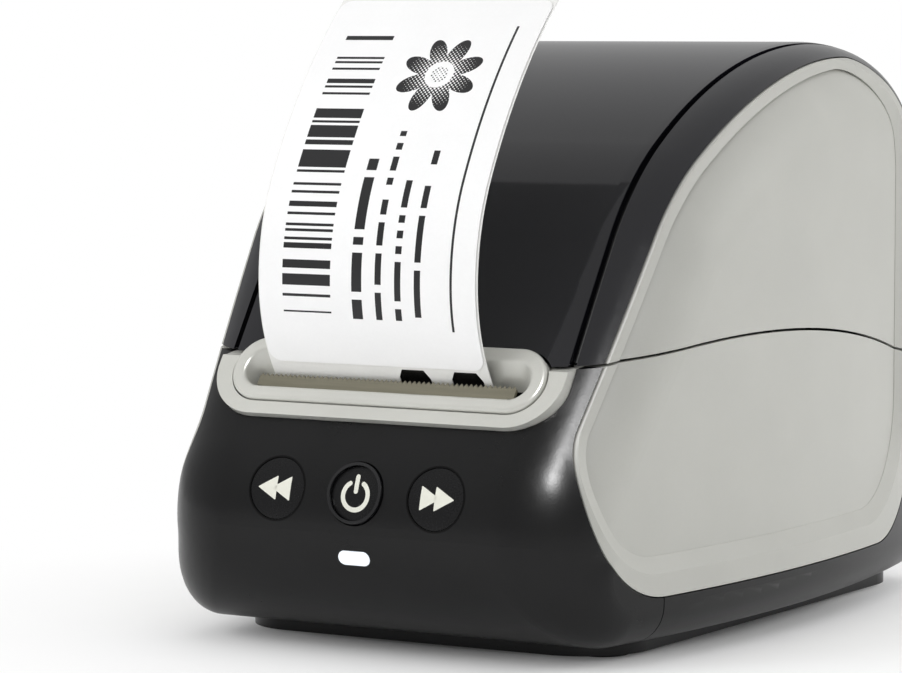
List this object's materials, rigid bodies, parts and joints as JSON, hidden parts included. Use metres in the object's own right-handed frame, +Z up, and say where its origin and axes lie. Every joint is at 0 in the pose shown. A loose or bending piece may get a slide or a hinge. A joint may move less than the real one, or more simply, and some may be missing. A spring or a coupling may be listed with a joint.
{
  "type": "thermal label printer",
  "caption": "Desktop thermal label printer: rounded black case with a hinged gloss lid, silver dished sides, front buttons and a label standing out of its toothed slot.",
  "frame": {"origin": "on the table under the middle of the case, in line with the lowest faces of the feet", "axes": "+Z up, front of the printer towards -Y, +X to the right seen from the front"},
  "size_m": [0.127, 0.1876, 0.1454],
  "materials": {
    "case_black": "fine satin grain",
    "lid_black": "gloss",
    "frame_black": "matte",
    "panel_silver": "satin",
    "ring_silver": "satin",
    "tear_steel": "brushed",
    "label_white": "coated paper",
    "liner_paper": "glassine paper",
    "rubber_black": "moulded",
    "steel": "ground",
    "gear_white": "moulded",
    "aluminium": "extruded",
    "board_green": "solder mask",
    "part_black": "moulded",
    "part_grey": "moulded",
    "button_black": "satin",
    "button_gloss": "gloss",
    "light_white": "clear window",
    "socket_metal": "plated",
    "core_card": "wound card",
    "ceramic_head": "glazed"
  },
  "bodies": {
    "base": {"base_tray": "case_black", "rubber_feet": "rubber_black", "case_screws": "steel", "front_housing": "case_black", "rear_housing": "case_black", "side_panel_lower_right": "panel_silver", "side_panel_lower_left": "panel_silver", "hinge_pins": "steel", "slot_apron": "ring_silver", "slot_ring": "ring_silver", "tear_bar": "tear_steel", "button_board": "board_green", "button_switches": "part_black", "indicator_light": "light_white", "platen_bushes": "gear_white", "idler_stud": "steel", "stepper_motor": "part_grey", "mechanism_plate_left": "steel", "mechanism_plate_right": "steel", "head_spring": "steel", "paper_chute": "part_black", "label_sensor": "part_black", "roll_cradle_right": "part_black", "roll_cradle_left": "part_black", "label_web": "liner_paper", "label_strip": "liner_paper", "printed_label": "label_white", "main_board": "board_green", "board_screws": "steel", "dc_jack": "part_black", "data_socket": "socket_metal"},
    "lid": {"lid_panel": "lid_black", "lid_cheek_right": "lid_black", "lid_cheek_left": "lid_black", "lid_frame": "frame_black", "side_panel_upper_right": "panel_silver", "side_panel_upper_left": "panel_silver"},
    "rewind_key": {"button_rewind": "button_black"},
    "power_key": {"button_power": "button_black", "button_power_ring": "button_gloss"},
    "forward_key": {"button_forward": "button_black"},
    "platen": {"platen_roller": "rubber_black", "platen_shaft": "steel", "platen_gear": "gear_white"},
    "idler": {"idler_gear": "gear_white"},
    "motor_rotor": {"motor_pinion": "gear_white", "motor_shaft": "steel"},
    "head": {"print_head": "ceramic_head", "head_heat_sink": "aluminium", "head_shaft": "steel", "release_lever": "part_grey"},
    "spool": {"spool_spindle": "part_grey", "roll_core": "core_card", "label_roll": "label_white"},
    "spool_stop": {"spool_guide": "part_grey"},
    "web_guide": {"width_guide": "part_grey"}
  },
  "joints": [
    {"name": "lid_hinge", "type": "hinge", "parent": "base", "child": "lid", "pos_m": [0, 0.0905, 0.052], "axis": [-1, 0, 0], "range_deg": [0, 80]},
    {"name": "rewind_press", "type": "slide", "parent": "base", "child": "rewind_key", "axis": [0, 0.9629, -0.2697], "range_m": [0, 0.0008], "stiffness_N_per_m": 600, "springref_m": -0.0004},
    {"name": "power_press", "type": "slide", "parent": "base", "child": "power_key", "axis": [0, 0.9629, -0.2697], "range_m": [0, 0.0008], "stiffness_N_per_m": 600, "springref_m": -0.0004},
    {"name": "forward_press", "type": "slide", "parent": "base", "child": "forward_key", "axis": [0, 0.9629, -0.2697], "range_m": [0, 0.0008], "stiffness_N_per_m": 600, "springref_m": -0.0004},
    {"name": "platen_spin", "type": "hinge", "parent": "base", "child": "platen", "pos_m": [0, -0.06478, 0.05347], "axis": [1, 0, 0], "continuous": true},
    {"name": "idler_spin", "type": "hinge", "parent": "base", "child": "idler", "pos_m": [0, -0.05405, 0.03472], "axis": [1, 0, 0], "continuous": true},
    {"name": "motor_spin", "type": "hinge", "parent": "base", "child": "motor_rotor", "pos_m": [0, -0.051, 0.0182], "axis": [1, 0, 0], "continuous": true},
    {"name": "head_pivot", "type": "hinge", "parent": "base", "child": "head", "pos_m": [0, -0.0625, 0.0311], "axis": [1, 0, 0], "range_deg": [0, 8], "stiffness_Nm_per_rad": 1.2, "springref_deg": -8.59},
    {"name": "spool_spin", "type": "hinge", "parent": "base", "child": "spool", "pos_m": [0, 0.024, 0.07224], "axis": [1, 0, 0], "continuous": true},
    {"name": "spool_guide_slide", "type": "slide", "parent": "spool", "child": "spool_stop", "axis": [1, 0, 0], "range_m": [0, 0.006]},
    {"name": "width_guide_slide", "type": "slide", "parent": "base", "child": "web_guide", "axis": [1, 0, 0], "range_m": [0, 0.008]}
  ],
  "couplings": [
    {"joint": "idler_spin", "follows": "platen_spin", "ratio": -0.8},
    {"joint": "motor_spin", "follows": "platen_spin", "ratio": 2}
  ]
}
